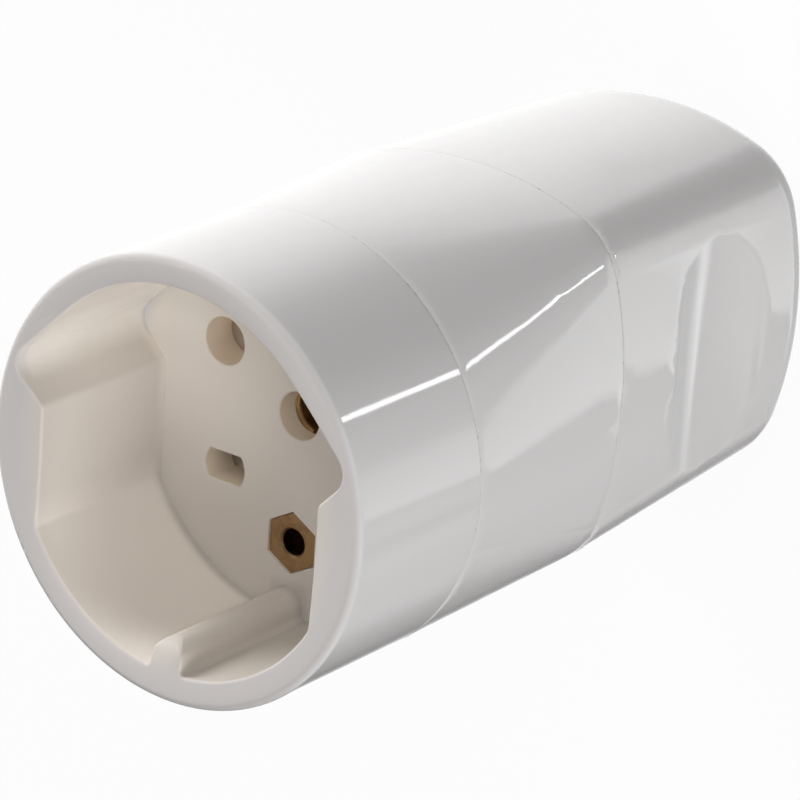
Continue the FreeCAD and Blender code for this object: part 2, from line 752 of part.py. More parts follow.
def build_terminal(pole, x, y, turn):
    """Brass block pushed on the contact's tail, with a wire bore and a side screw hole."""
    body = new_body(f"{pole}_terminal")
    tail_bore = "(tail_radius + thread_gap)"
    tail_floor = f"({TAIL_END} - contact_gap)"
    wire_floor = f"({TERMINAL_END} + wire_depth)"
    revolve(Outline(body, f"{pole}_block", plane="XZ_Plane").path([
        ("0", wire_floor),
        ("wire_bore", wire_floor),
        ("wire_bore", TERMINAL_END),
        ("terminal_radius", TERMINAL_END),
        ("terminal_radius", TOWER_END),
        (tail_bore, TOWER_END),
        (tail_bore, tail_floor),
        ("0", tail_floor),
    ]))
    hole = Outline(body, f"{pole}_screw_hole", plane="YZ_Plane")
    hole.circle("0", TERMINAL_SCREW, "terminal_screw_radius + thread_gap")
    pocket_up(hole, "2 * terminal_radius")
    return place_body(body, x, y, turn)


def build_terminal_screw(pole, x, y, turn):
    """Slotted screw along the block's own X axis."""
    body = new_body(f"{pole}_terminal_screw")
    seat = "(terminal_radius + terminal_screw_lift)"
    crown = f"({seat} + terminal_head_height)"
    profile = Outline(body, f"{pole}_screw_profile", plane="XZ_Plane").path([
        ("0", "0"),
        (crown, "0"),
        (crown, "terminal_head_radius"),
        (seat, "terminal_head_radius"),
        (seat, "terminal_screw_radius"),
        ("0", "terminal_screw_radius"),
    ])
    revolve(profile, axis="H_Axis")
    slot = Outline(body, f"{pole}_screw_slot", plane="XZ_Plane")
    slot.box(f"{crown} - drive_depth", "-drive_slot / 2", f"{crown} + drive_depth", "drive_slot / 2")
    extrude("Pocket", slot, "4 * terminal_head_radius", midplane=True)
    place_body(body, x, y, turn)
    body.setExpression("Placement.Base.z", linked(TERMINAL_SCREW))
    return body


# Nut, long screw and cord clamp


def build_hex_nut():
    body = new_body("hex_nut")
    blank = hexagon(Outline(body, "nut_blank", NUT_SEAT), "nut_width")
    blank.circle("0", NUT_Y, "screw_radius + thread_gap")
    pad_up(blank, "nut_height")
    dress("Chamfer", body, "nut_countersink", "nut_edge",
          lambda edge: level(edge, NUT_TOP) and isinstance(edge.Curve, Part.Circle))
    return body


def build_assembly_screw():
    body = new_body("assembly_screw")
    head_foot = "(screw_seat_height - screw_head_height)"
    tip = f"({NUT_TOP} - screw_tip_depth)"
    revolve(Outline(body, "screw_profile", plane="XZ_Plane").path([
        ("0", head_foot),
        ("screw_head_radius", head_foot),
        ("screw_head_radius", "screw_seat_height"),
        ("screw_radius", "screw_seat_height"),
        ("screw_radius", tip),
        ("0", tip),
    ]))
    slot = Outline(body, "screw_slot", head_foot)
    slot.box("-screw_head_radius * 2", "-drive_slot / 2", "screw_head_radius * 2", "drive_slot / 2")
    pocket_up(slot, "drive_depth")
    return place_body(body, y=NUT_Y)


def build_clamp_bar():
    body = new_body("cord_clamp_bar")
    top = "clamp_height + clamp_length / 2"
    bar = Outline(body, "bar", top).box("-clamp_half_width", BAR_BOTTOM, "clamp_half_width", BAR_TOP)
    pad_down(bar, "clamp_length")
    groove = Outline(body, "bar_groove", top).circle("0", INLET_Y, "cord_radius")
    pocket_down(groove, "clamp_length")
    holes = Outline(body, "bar_holes", f"-{BAR_BOTTOM}", "XZ_Plane")
    for side in ("", "-"):
        holes.circle(f"{side}clamp_screw_offset", "clamp_height", "clamp_screw_radius + screw_gap")
    pocket_down(holes, f"{BAR_TOP} - {BAR_BOTTOM}")
    return body


def build_clamp_screw(name, x):
    """Slotted screw along Y, its head under the clamp bar."""
    body = new_body(name)
    profile = Outline(body, f"{name}_profile", plane="YZ_Plane").path([
        ("-clamp_head_height", "0"),
        ("clamp_screw_length", "0"),
        ("clamp_screw_length", "clamp_screw_radius"),
        ("0", "clamp_screw_radius"),
        ("0", "clamp_head_radius"),
        ("-clamp_head_height", "clamp_head_radius"),
    ])
    revolve(profile, axis="H_Axis")
    slot = Outline(body, f"{name}_slot", plane="YZ_Plane")
    slot_floor = "drive_depth - clamp_head_height"
    slot.box("-clamp_head_height - drive_depth", "-drive_slot / 2", slot_floor, "drive_slot / 2")
    extrude("Pocket", slot, "4 * clamp_head_radius", midplane=True)
    place_body(body, x, BAR_BOTTOM)
    body.setExpression("Placement.Base.z", linked("clamp_height"))
    return body


def group(label, bodies):
    """Alike pieces that share one file."""
    compound = doc.addObject("Part::Compound", label)
    compound.Label = label
    compound.Links = bodies
    return compound


def each(build, poles):
    return [build(pole, *place) for pole, place in poles.items()]


nodes = [build_front_housing(), build_contact_carrier(), build_rear_housing()]
nodes += each(build_sleeve, ROUND_POLES)
nodes += each(build_fork, FLAT_POLES)
nodes += each(build_terminal, POLES)
nodes.append(group("sleeve_spring_rings", each(build_ring, ROUND_POLES)))
nodes.append(group("fork_spring_clips", each(build_clip, FLAT_POLES)))
nodes.append(group("terminal_screws", each(build_terminal_screw, POLES)))
nodes += [build_hex_nut(), build_assembly_screw(), build_clamp_bar()]
clamp_screws = [
    build_clamp_screw("right_clamp_screw", "clamp_screw_offset"),
    build_clamp_screw("left_clamp_screw", "-clamp_screw_offset"),
]
nodes.append(group("cord_clamp_screws", clamp_screws))

# Check every object, then write one file for each node
doc.recompute()
for item in doc.Objects:
    if "Invalid" in item.State or "Error" in item.State:
        raise RuntimeError(f"{item.Name} failed: {item.State}")
for node in nodes:
    if node.Shape.isNull() or not node.Shape.isValid():
        raise RuntimeError(f"{node.Label} has no sound shape")
os.makedirs("parts", exist_ok=True)
for node in nodes:
    node.Shape.exportStep(f"parts/{node.Label}.step")
    print(node.Label, len(node.Shape.Solids), round(node.Shape.Volume, 2))
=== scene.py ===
"""Looks of the inline socket connector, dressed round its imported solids."""

import math

import bmesh
import bpy
from bpy.props import FloatProperty, FloatVectorProperty, PointerProperty
from mathutils import Matrix, Vector


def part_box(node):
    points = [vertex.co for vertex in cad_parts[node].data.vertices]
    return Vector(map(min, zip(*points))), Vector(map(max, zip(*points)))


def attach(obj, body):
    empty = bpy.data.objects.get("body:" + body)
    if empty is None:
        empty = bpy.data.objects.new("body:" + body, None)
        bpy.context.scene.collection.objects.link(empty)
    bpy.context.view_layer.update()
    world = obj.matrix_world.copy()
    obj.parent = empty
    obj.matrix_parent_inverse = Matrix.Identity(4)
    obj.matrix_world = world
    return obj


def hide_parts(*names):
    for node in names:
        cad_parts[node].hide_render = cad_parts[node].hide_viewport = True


bl_info = {
    "name": "Inline Socket Connector",
    "version": (1, 0, 0),
    "blender": (4, 5, 0),
    "location": "View3D > Sidebar > Connector",
    "description": "Dresses an inline socket connector with its moulded plastic, brass and steel",
    "category": "Object",
}

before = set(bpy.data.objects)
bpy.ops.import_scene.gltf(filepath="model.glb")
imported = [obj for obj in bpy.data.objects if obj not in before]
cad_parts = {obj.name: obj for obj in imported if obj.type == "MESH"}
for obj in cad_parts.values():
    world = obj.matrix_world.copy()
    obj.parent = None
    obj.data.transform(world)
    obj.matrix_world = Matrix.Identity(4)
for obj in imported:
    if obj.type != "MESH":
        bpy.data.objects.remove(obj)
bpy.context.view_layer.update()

MM = 0.001
BODY = "root"

SHELLS = ("front_housing", "contact_carrier", "rear_housing")
SLEEVES = ("line_one_sleeve", "neutral_sleeve", "earth_sleeve")
FORKS = ("line_two_fork", "line_three_fork")
TERMINALS = (
    "line_one_terminal", "neutral_terminal", "earth_terminal", "line_two_terminal", "line_three_terminal",
)
SPRINGS = ("sleeve_spring_rings", "fork_spring_clips")
SCREWS = ("terminal_screws", "assembly_screw", "cord_clamp_screws")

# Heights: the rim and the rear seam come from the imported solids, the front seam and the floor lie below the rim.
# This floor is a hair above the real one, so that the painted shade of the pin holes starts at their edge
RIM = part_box("front_housing")[1].z
REAR_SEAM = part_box("rear_housing")[1].z
FRONT_SEAM = RIM - 18.4 * MM
FLOOR = RIM - 18.5 * MM

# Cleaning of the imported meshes
SMOOTH_ANGLE = math.radians(32)
FLAT_ANGLE = math.radians(0.15)
MERGE_DISTANCE = 0.002 * MM
SLIVER_LENGTH = 0.0005 * MM
NORMAL_WEIGHT = 80

# Reshaping of the rim: what counts as its flat face, how its grid is refined and where the rib's end stops
LEVEL_NORMAL = 0.999
LEVEL_DEPTH = 0.002 * MM
GRID_ROUNDS = 6
GRID_SLACK = 1.6
RIB_MARGIN = 0.02 * MM
RIB_STEEPEST = 0.98

# Spans over which the shell's masks rise or fall, in millimetres: a distance from the axis, a place along X or Y,
# or a height above or below the rim, the front seam or the floor
SPANS = {name: (low * MM, high * MM) for name, (low, high) in {
    "recess radius": (18.9, 20.8),
    "recess depth": (-26, -25),
    "seam skin": (0, 0.3),
    "rim": (-0.5, -0.15),
    "floor": (-18.4, -17),
    "rib width": (1.9, 2.6),
    "rib crest": (-16, -15),
    "low": (-17, 6),
    "painted slope shade": (-18, -4),
    "lit along": (4, 8),
    "lit across": (-14, -6),
    "notch across": (-16, -14),
    "notch inner": (18.6, 19.8),
    "notch outer": (20.9, 21.4),
    "notch foot": (0, 0.5),
    "notch top": (-2, -1),
    "painted_facet_shade": (6, 11),
    "facet depth": (0, 9),
    "shady along": (-15, -6),
    "shady across": (-5, 1),
    "corner along": (-17, -12),
    "corner across": (0, 3),
    "holes": (-0.4, -0.1),
    "hole depth": (-4, -0.4),
    "flat row": (2, 2.5),
    "flat column": (5, 6),
    "nut_hole_shade": (-24, -22),
}.items()}
SEAM_EDGES = ((FRONT_SEAM, 21.3 * MM), (REAR_SEAM, 17 * MM))
SEAM_FADE = (0.35, 1.0)
PAINTED_SHADE_SLANT = 0.6

# Shares of the layers of colour, painted shade and painted light among them, and of the bumps, and how dark the
# darker layers are against their own colour
SHARES = {
    "painted floor shade": 0.34, "painted rib shade": 0.16, "painted slope shade": 0.17, "painted_facet_shade": 0.26, "facet lift": 0.12, "painted_wall_light": 0.75,
    "corner": 0.22, "flat holes": 0.5, "clouds": 0.05, "glow": 0.45, "deep glow": 0.55,
    "dust": 0.25, "dust specks": 0.55, "fine ripples": 0.06,
    "brass marks": 0.22, "brass grain": 0.6, "steel spots": 0.35, "steel lines": 0.15, "clamp clouds": 0.12,
}
TINTS = {"low": 0.55, "walls": 0.3, "flat holes": 0.34, "clouds": 0.8, "steel spots": 0.5, "clamp clouds": 0.7}

# Roughness of each finish, apart from the shell's own gloss, and what its marks add to it
ROUGHNESS = {
    "shell clouds": 0.02, "shell fine": 0.015, "recess": 0.2, "dust": 0.4,
    "brass": 0.3, "brass patches": 0.12, "brass marks": 0.1,
    "spring": 0.32, "screw": 0.26, "steel spots": 0.2, "steel lines": 0.1, "nut_hole_shade": 0.3,
    "clamp": 0.5, "clamp grain": 0.2,
}

# Sizes of the blotches, and depths of the bumps
BLOTCHES = {name: size * MM for name, size in {
    "shell clouds": 9, "shell fine": 0.35, "shell specks": 0.5,
    "brass wander": 1.5, "brass patches": 1.1, "brass grain": 0.12,
    "steel lines": 0.1, "steel spots": 0.7,
    "clamp grain": 0.12, "clamp clouds": 3,
}.items()}
BUMPS = {name: depth * MM for name, depth in {
    "shell": 0.004, "brass": 0.012, "steel": 0.006, "clamp": 0.02,
}.items()}

# Noise levels between which specks, patches and spots set in
SPECK_LEVELS = (0.52, 0.66)
PATCH_LEVELS = (0.42, 0.7)
SPOT_LEVELS = (0.5, 0.75)

SHELL_IOR = 1.5
MARK_WANDER = 3
CONTACT_DULLNESS = 0.35
NUT_DULLNESS = 0.5
NUT_TONE = (0.66, 0.60, 0.63)
DRAWN = (1.0, 1.0, 0.12)
# Painted shade: near-black laid on the screw's end in the nut's hole
NUT_HOLE_SHADE_COLOUR = (0.012, 0.005, 0.004)

BLACK = (0, 0, 0)
WHITE = (1, 1, 1)
FLOOR_BOUNCE = (0.42, 0.42, 0.42)

# Zones of the room that gloss shows, as spans of a heading's X, Y or Z
ZONES = {
    "left": (-0.5, -0.1),
    "raise": (-0.84, -0.79),
    "box foot": (-0.475, -0.44),
    "box top": (-0.04, 0.1),
    "box left": (0.2, 0.28),
    "box right": (0.64, 0.74),
    "band foot": (-0.45, -0.40),
    "band top": (-0.34, -0.30),
    "band left": (0.14, 0.2),
    "band right": (0.26, 0.33),
    "shade foot": (0.22, 0.6),
    "shade left": (-0.3, 0.0),
    "under top": (-0.6, -0.45),
    "under left": (-0.1, 0.15),
    "low top": (-0.4, -0.34),
    "low left": (0.45, 0.55),
    "low right": (0.8, 0.9),
    "above": (-0.05, 0.3),
}
LEVELS = {
    "room": 0.75, "left": 0.4, "box": 1.2, "band": 0.5, "strip": 11.0,
    "shade": 0.75, "low": 0.6, "under": 0.6, "above": 0.5,
}
BOX_SLANT = 0.35
BOX_RAISE = 0.25

# The narrow lamp runs between two headings, each a turn round the axis and a rise, in degrees
STRIP_ENDS = ((30.8, -42.5), (30.9, -50.6))
STRIP_EDGE = (0.013, 0.019)
STRIP_END_FADE = 0.0002

# Lamps: the direction from the part's middle and the side of the square
LAMP_DISTANCE = 0.9
LAMPS = {
    "key_lamp": ((-0.74, 0.62, 0.15), 0.5),
    "fill_lamp": ((0.74, -0.46, 0.48), 0.6),
    "front_lamp": ((0.42, 0.44, 0.79), 0.4),
}

# Camera of the photo, from a fit of its outlines
SENSOR_WIDTH = 36
CAMERA_PLACE = (0.24953, 0.16411, 0.38654)
CAMERA_TURN = (
    (0.78913, -0.27001, 0.55172),
    (0.06257, 0.92889, 0.36508),
    (-0.61104, -0.25358, 0.74989),
)


class ShellLook(bpy.types.PropertyGroup):
    """Finish of the moulded housings, with painted shade and painted light in the recess and on the rim, and a
    painted glow
    """

    colour: FloatVectorProperty(
        name="Plastic", description="White of the moulded shell", subtype="COLOR", min=0, max=1,
        default=(0.86, 0.845, 0.84),
    )
    recess_colour: FloatVectorProperty(
        name="Recess", description="Creamier white inside the plug recess", subtype="COLOR", min=0, max=1,
        default=(0.925, 0.862, 0.795),
    )
    # Painted light: a paler white laid on the recess's lower wall, notches and upper floor
    painted_light_colour: FloatVectorProperty(
        name="Painted recess light", description="Painted light on the recess's lower wall, notches and upper floor",
        subtype="COLOR", min=0, max=1, default=(1.0, 0.95, 0.885),
    )
    # Painted shade: a warmer, darker white for the pin holes' walls
    hole_shade_colour: FloatVectorProperty(
        name="Pin holes", description="Painted warm shade on the pin holes' walls", subtype="COLOR", min=0, max=1,
        default=(0.88, 0.785, 0.665),
    )
    # Painted glow: the plastic itself gives off this light in the pin holes and on the lower left walls
    painted_hole_glow: FloatVectorProperty(
        name="Painted hole glow", description="Painted glow that stands for light coming through the plastic into the pin holes",
        subtype="COLOR", min=0, max=1, default=(0.054, 0.04, 0.027),
    )
    painted_wall_glow: FloatVectorProperty(
        name="Painted wall glow", description="Painted glow that stands for light coming through the plastic into the recess's lower wall",
        subtype="COLOR", min=0, max=1, default=(0.05, 0.04, 0.034),
    )
    flat_row: FloatProperty(
        name="Flat holes", description="Place of the flat-sided holes along Y", unit="LENGTH",
        default=-6.15 * MM,
    )
    # Painted shade: a darker white laid on the rim face
    rim_shade_colour: FloatVectorProperty(
        name="Rim", description="Rim face, painted darker for shade", subtype="COLOR", min=0, max=1,
        default=(0.78, 0.74, 0.725),
    )
    grime_colour: FloatVectorProperty(
        name="Grime", description="Dust that settles in the seams", subtype="COLOR", min=0, max=1,
        default=(0.30, 0.27, 0.24),
    )
    gloss: FloatProperty(
        name="Roughness", description="Roughness of the polished mould face", subtype="FACTOR", default=0.035,
        min=0, max=1,
    )
    peel_size: FloatProperty(
        name="Peel", description="Size of the faint ripples that moulding leaves", unit="LENGTH",
        default=2.2 * MM, min=0.1 * MM,
    )
    seam_width: FloatProperty(
        name="Seam dirt", description="Half width of the dust line along a seam", unit="LENGTH",
        default=0.13 * MM, min=0.01 * MM,
    )
    rim_crest: FloatProperty(
        name="Rim crest", description="Radius of the rim's highest circle", unit="LENGTH", default=21.16 * MM,
    )
    rim_tilt: FloatProperty(
        name="Rim fall", description="Slope of the rim towards the recess", subtype="ANGLE",
        default=math.radians(9.5),
    )
    rim_blend: FloatProperty(
        name="Rim blend", description="Width over which the slope sets in", unit="LENGTH", default=0.8 * MM,
    )
    rim_edge: FloatProperty(
        name="Rim edge", description="Depth of the rounded edge that follows the slope", unit="LENGTH",
        default=0.31 * MM,
    )
    rim_grid: FloatProperty(
        name="Rim grid", description="Longest edge on the sloping rim", unit="LENGTH", default=0.5 * MM,
        min=0.1 * MM,
    )
    rib_reach: FloatProperty(
        name="Rib reach", description="Half width that the rib's rounded end takes in", unit="LENGTH",
        default=2.3 * MM,
    )
    rib_foot: FloatProperty(
        name="Rib foot", description="Place along Y where the rib's rounded end starts", unit="LENGTH",
        default=-18.9 * MM,
    )
    rib_crest: FloatProperty(
        name="Rib crest", description="Place of the rib's crest along Y", unit="LENGTH", default=-15.95 * MM,
    )
    rib_nose: FloatProperty(
        name="Rib nose", description="Length of the rib's rounded end", unit="LENGTH", default=2.6 * MM,
    )


class MetalLook(bpy.types.PropertyGroup):
    """Finish of the contacts, springs and fasteners"""

    brass: FloatVectorProperty(
        name="Brass", description="Turned brass of the contacts", subtype="COLOR", min=0, max=1,
        default=(0.60, 0.42, 0.20),
    )
    tarnish: FloatVectorProperty(
        name="Tarnish", description="Dull brown that brass takes on", subtype="COLOR", min=0, max=1,
        default=(0.30, 0.20, 0.10),
    )
    steel: FloatVectorProperty(
        name="Steel", description="Zinc-plated steel of the screws", subtype="COLOR", min=0, max=1,
        default=(0.66, 0.67, 0.69),
    )
    spring: FloatVectorProperty(
        name="Spring steel", description="Bare steel of the springs", subtype="COLOR", min=0, max=1,
        default=(0.52, 0.52, 0.53),
    )
    mark_pitch: FloatProperty(
        name="Turning marks", description="Spacing of the lathe's marks", unit="LENGTH", default=0.16 * MM,
        min=0.02 * MM,
    )


class ClampLook(bpy.types.PropertyGroup):
    """Finish of the cord clamp"""

    colour: FloatVectorProperty(
        name="Clamp plastic", description="Matte moulding of the clamp bar", subtype="COLOR", min=0, max=1,
        default=(0.72, 0.72, 0.71),
    )


class StageLook(bpy.types.PropertyGroup):
    """Floor, lamps and camera"""

    floor_size: FloatProperty(
        name="Floor", description="Side of the square floor", unit="LENGTH", default=6.0, min=1,
    )
    key_level: FloatProperty(
        name="Key", description="Light that the key lamp throws on a face square to it", default=3.55, min=0,
    )
    fill_level: FloatProperty(
        name="Fill", description="Light that the fill lamp throws on a face square to it", default=1.7, min=0,
    )
    front_level: FloatProperty(
        name="Front", description="Light that the front lamp throws on a face square to it", default=0.7, min=0,
    )
    room_level: FloatProperty(
        name="Room", description="Even light from all round", default=0.11, min=0,
    )
    shadow: FloatProperty(
        name="Shadow", description="Share of the lamps' light and shadow that the floor shows",
        subtype="FACTOR", default=0.06, min=0, max=1,
    )
    lens: FloatProperty(
        name="Lens", description="Focal length of the camera in millimetres", default=208.2, min=1,
    )


class Value:
    """Shader socket that takes part in Python sums; each sum adds a Math node"""

    def __init__(self, sheet, socket):
        self.sheet = sheet
        self.socket = socket

    def __add__(self, other):
        return self.sheet.maths("ADD", self, other)

    def __radd__(self, other):
        return self.sheet.maths("ADD", other, self)

    def __sub__(self, other):
        return self.sheet.maths("SUBTRACT", self, other)

    def __rsub__(self, other):
        return self.sheet.maths("SUBTRACT", other, self)

    def __mul__(self, other):
        return self.sheet.maths("MULTIPLY", self, other)

    def __rmul__(self, other):
        return self.sheet.maths("MULTIPLY", other, self)

    def __truediv__(self, other):
        return self.sheet.maths("DIVIDE", self, other)

    def __abs__(self):
        return self.sheet.maths("ABSOLUTE", self)

    def sine(self):
        return self.sheet.maths("SINE", self)

    def root(self):
        return self.sheet.maths("SQRT", self)

    def clamped(self):
        return self.sheet.maths("ADD", self, 0.0, clamp=True)

    def rise(self, span, start=0.0):
        """0 below a span and 1 above it, with a smooth rise between; the span counts from a start"""
        low, high = span
        return self.sheet.out(
            "ShaderNodeMapRange", {"interpolation_type": "SMOOTHSTEP"},
            {"Value": self, "From Min": start + low, "From Max": start + high}, "Result",
        )

    def fall(self, span, start=0.0):
        """1 below a span and 0 above it, with a smooth fall between"""
        return 1 - self.rise(span, start)


class Sheet:
    """Node sheet of a material or of the world"""

    def __init__(self, owner):
        owner.use_nodes = True
        self.tree = owner.node_tree
        self.tree.nodes.clear()

    def fill(self, socket, value):
        """Link a socket to a value or to another socket, or set it to a constant"""
        if isinstance(value, Value):
            self.tree.links.new(value.socket, socket)
        elif isinstance(value, bpy.types.NodeSocket):
            self.tree.links.new(value, socket)
        else:
            socket.default_value = value

    def add(self, kind, settings=None, sockets=None):
        """A node of that type, its settings set first, then the values or links of its sockets"""
        node = self.tree.nodes.new(kind)
        for name, value in (settings or {}).items():
            setattr(node, name, value)
        for name, value in (sockets or {}).items():
            self.fill(node.inputs[name], value)
        return node

    def out(self, kind, settings=None, sockets=None, output=0):
        """One output of a new node, ready for sums"""
        return Value(self, self.add(kind, settings, sockets).outputs[output])

    def maths(self, operation, first, second=None, clamp=False):
        """A sum of one or two terms"""
        sockets = {0: first}
        if second is not None:
            sockets[1] = second
        return self.out("ShaderNodeMath", {"operation": operation, "use_clamp": clamp}, sockets)

    def mix(self, share, first, second):
        """Colour between two, by a share"""
        node = self.add("ShaderNodeMix", {"data_type": "RGBA"})
        slots = [s for s in node.inputs if s.enabled]
        for socket, value in zip(slots, (share, first, second)):
            self.fill(socket, value)
        return Value(self, [s for s in node.outputs if s.enabled][0])

    def parts(self, vector):
        """The three parts of a vector"""
        split = self.add("ShaderNodeSeparateXYZ", sockets={"Vector": vector})
        return [Value(self, socket) for socket in split.outputs]

    def place(self):
        """Object coordinates"""
        return self.out("ShaderNodeTexCoord", output="Object")

    def noise(self, spot, size, detail=2.0, roughness=0.5):
        """Cloudy noise whose blotches are about that size"""
        return self.out(
            "ShaderNodeTexNoise", {"noise_dimensions": "3D"},
            {"Vector": spot, "Scale": 1 / size, "Detail": detail, "Roughness": roughness}, "Fac",
        )

    def stretched(self, spot, scale):
        """Coordinates stretched along an axis, for brushed marks"""
        return self.out("ShaderNodeMapping", {"vector_type": "POINT"}, {"Vector": spot, "Scale": scale})

    def bump(self, height, depth):
        """Normal of a surface that rises and falls by that depth"""
        return self.out(
            "ShaderNodeBump", None, {"Height": height, "Distance": depth, "Strength": 1.0}, "Normal",
        )

    def surface(self, sockets):
        """Finished Principled surface"""
        shader = self.add("ShaderNodeBsdfPrincipled", None, sockets)
        self.add("ShaderNodeOutputMaterial", None, {"Surface": shader.outputs[0]})


def rgba(colour):
    return (*colour, 1.0)


def tinted(colour, tint):
    return [tint * part for part in colour]


def shell_plastic(look):
    """Gloss white moulding: faint ripples, a creamier recess with painted shade, painted light and a painted glow,
    warm pin holes in painted shade, a rim in painted shade, and dust along the seams
    """
    material = bpy.data.materials.new("shell_plastic_gloss")
    sheet = Sheet(material)
    spot = sheet.place()
    x, y, z = sheet.parts(spot)
    reach = (x * x + y * y).root()
    clouds = sheet.noise(spot, BLOTCHES["shell clouds"], detail=3.0)
    fine = sheet.noise(spot, BLOTCHES["shell fine"], detail=3.0, roughness=0.6)
    specks = sheet.noise(spot, BLOTCHES["shell specks"], detail=4.0, roughness=0.7).rise(SPECK_LEVELS)

    seams = 0
    for height, edge in SEAM_EDGES:
        gap = abs(z - height) / look.seam_width
        seams = gap.fall(SEAM_FADE) * reach.rise(SPANS["seam skin"], edge) + seams
    dust = (seams * (SHARES["dust"] + SHARES["dust specks"] * specks)).clamped()

    # The recess: its floor, its walls and the rib
    inside = reach.fall(SPANS["recess radius"]) * z.rise(SPANS["recess depth"], RIM)
    rim = z.rise(SPANS["rim"], RIM)
    floor = z.fall(SPANS["floor"], RIM)
    walls = inside * (1 - floor)
    rib = abs(x).fall(SPANS["rib width"]) * y.fall(SPANS["rib crest"])

    # The holes in the floor, and the two with flat sides among them
    holes = inside * z.fall(SPANS["holes"], FLOOR)
    deep = z.fall(SPANS["hole depth"], FLOOR)
    flat = holes * abs(y - look.flat_row).fall(SPANS["flat row"]) * abs(x).rise(SPANS["flat column"])

    # Painted shade and painted light in the recess: darker where light reaches it least, paler where it reaches it
    # most
    # Painted shade: the lower floor and the rib's crest darker, and the floor darker towards its lower left
    low = inside * y.fall(SPANS["low"]) * (SHARES["painted floor shade"] * floor + SHARES["painted rib shade"] * rib)
    low = low + SHARES["painted slope shade"] * inside * floor * (y + PAINTED_SHADE_SLANT * x).fall(SPANS["painted slope shade"])
    # Painted light: the upper floor and the notches paler
    lit = inside * floor * y.rise(SPANS["lit along"]) * x.fall(SPANS["lit across"])
    notch = x.fall(SPANS["notch across"]) * reach.rise(SPANS["notch inner"]) * reach.fall(SPANS["notch outer"])
    notch = notch * z.rise(SPANS["notch foot"], FRONT_SEAM) * z.fall(SPANS["notch top"], RIM)
    # Painted shade: the walls' middle band darker, less so higher up
    lift = SHARES["facet lift"] * z.rise(SPANS["facet depth"], FLOOR)
    painted_facet_shade = walls * abs(y).fall(SPANS["painted_facet_shade"]) * (SHARES["painted_facet_shade"] - lift)
    # Painted light: the lower left walls, which lie in shade, paler
    painted_wall_light = walls * y.fall(SPANS["shady along"]) * x.fall(SPANS["shady across"])
    # Painted shade: the lower right walls darker
    corner = walls * y.fall(SPANS["corner along"]) * x.rise(SPANS["corner across"])

    colour = rgba(look.colour)
    for share, layer in (
        (inside, look.recess_colour),
        # painted shade on the lower floor and the rib
        (low, tinted(look.recess_colour, TINTS["low"])),
        # painted light on the upper floor and the notches
        ((lit + notch).clamped(), look.painted_light_colour),
        # painted shade on the walls' middle band
        (painted_facet_shade, tinted(look.recess_colour, TINTS["walls"])),
        # painted light on the lower left walls
        (SHARES["painted_wall_light"] * painted_wall_light, look.painted_light_colour),
        # painted shade on the lower right walls
        (SHARES["corner"] * corner, tinted(look.recess_colour, TINTS["walls"])),
        # painted warm shade in the pin holes, darker still deep in the flat-sided ones
        (holes, look.hole_shade_colour),
        (SHARES["flat holes"] * flat * deep, tinted(look.hole_shade_colour, TINTS["flat holes"])),
        # painted shade on the rim face
        (rim, look.rim_shade_colour),
        (SHARES["clouds"] * clouds, tinted(look.colour, TINTS["clouds"])),
        (dust, look.grime_colour),
    ):
        colour = sheet.mix(share, colour, rgba(layer))
    # Painted glow on the lower left walls and in the pin holes, stronger deep in the round holes
    glow = sheet.mix(painted_wall_light, rgba(BLACK), rgba(look.painted_wall_glow))
    through = holes * (SHARES["glow"] + SHARES["deep glow"] * deep * (1 - flat))
    ripples = sheet.noise(spot, look.peel_size, detail=1.0) + SHARES["fine ripples"] * fine
    roughness = look.gloss + ROUGHNESS["shell clouds"] * clouds + ROUGHNESS["shell fine"] * fine
    sheet.surface({
        "Base Color": colour,
        "Roughness": roughness + ROUGHNESS["recess"] * inside + ROUGHNESS["dust"] * dust,
        "Normal": sheet.bump(ripples, BUMPS["shell"]),
        "IOR": SHELL_IOR,
        "Emission Color": sheet.mix(through, glow, rgba(look.painted_hole_glow)),
        "Emission Strength": 1.0,
    })
    return material


def brass(look, name, centre=None, dullness=CONTACT_DULLNESS, tone=WHITE):
    """Turned brass with patches of tarnish: lathe marks round a centre, or along the piece if there is none"""
    material = bpy.data.materials.new(name)
    sheet = Sheet(material)
    spot = sheet.place()
    x, y, path = sheet.parts(spot)
    if centre:
        across, along = x - centre[0], y - centre[1]
        path = (across * across + along * along).root()
    wander = MARK_WANDER * sheet.noise(spot, BLOTCHES["brass wander"])
    turn = 0.5 + 0.5 * (path * (2 * math.pi / look.mark_pitch) + wander).sine()
    patches = sheet.noise(spot, BLOTCHES["brass patches"], detail=4.0, roughness=0.6)
    grain = sheet.noise(spot, BLOTCHES["brass grain"], detail=3.0, roughness=0.6)
    stain = (patches.rise(PATCH_LEVELS) * dullness + SHARES["brass marks"] * turn * grain).clamped()
    bright, brown = [
        rgba([share * part for share, part in zip(tone, colour)]) for colour in (look.brass, look.tarnish)
    ]
    sheet.surface({
        "Base Color": sheet.mix(stain, bright, brown),
        "Metallic": 1.0,
        "Roughness": ROUGHNESS["brass"] + ROUGHNESS["brass patches"] * patches + ROUGHNESS["brass marks"] * turn,
        "Normal": sheet.bump(turn + SHARES["brass grain"] * grain, BUMPS["brass"]),
    })
    return material


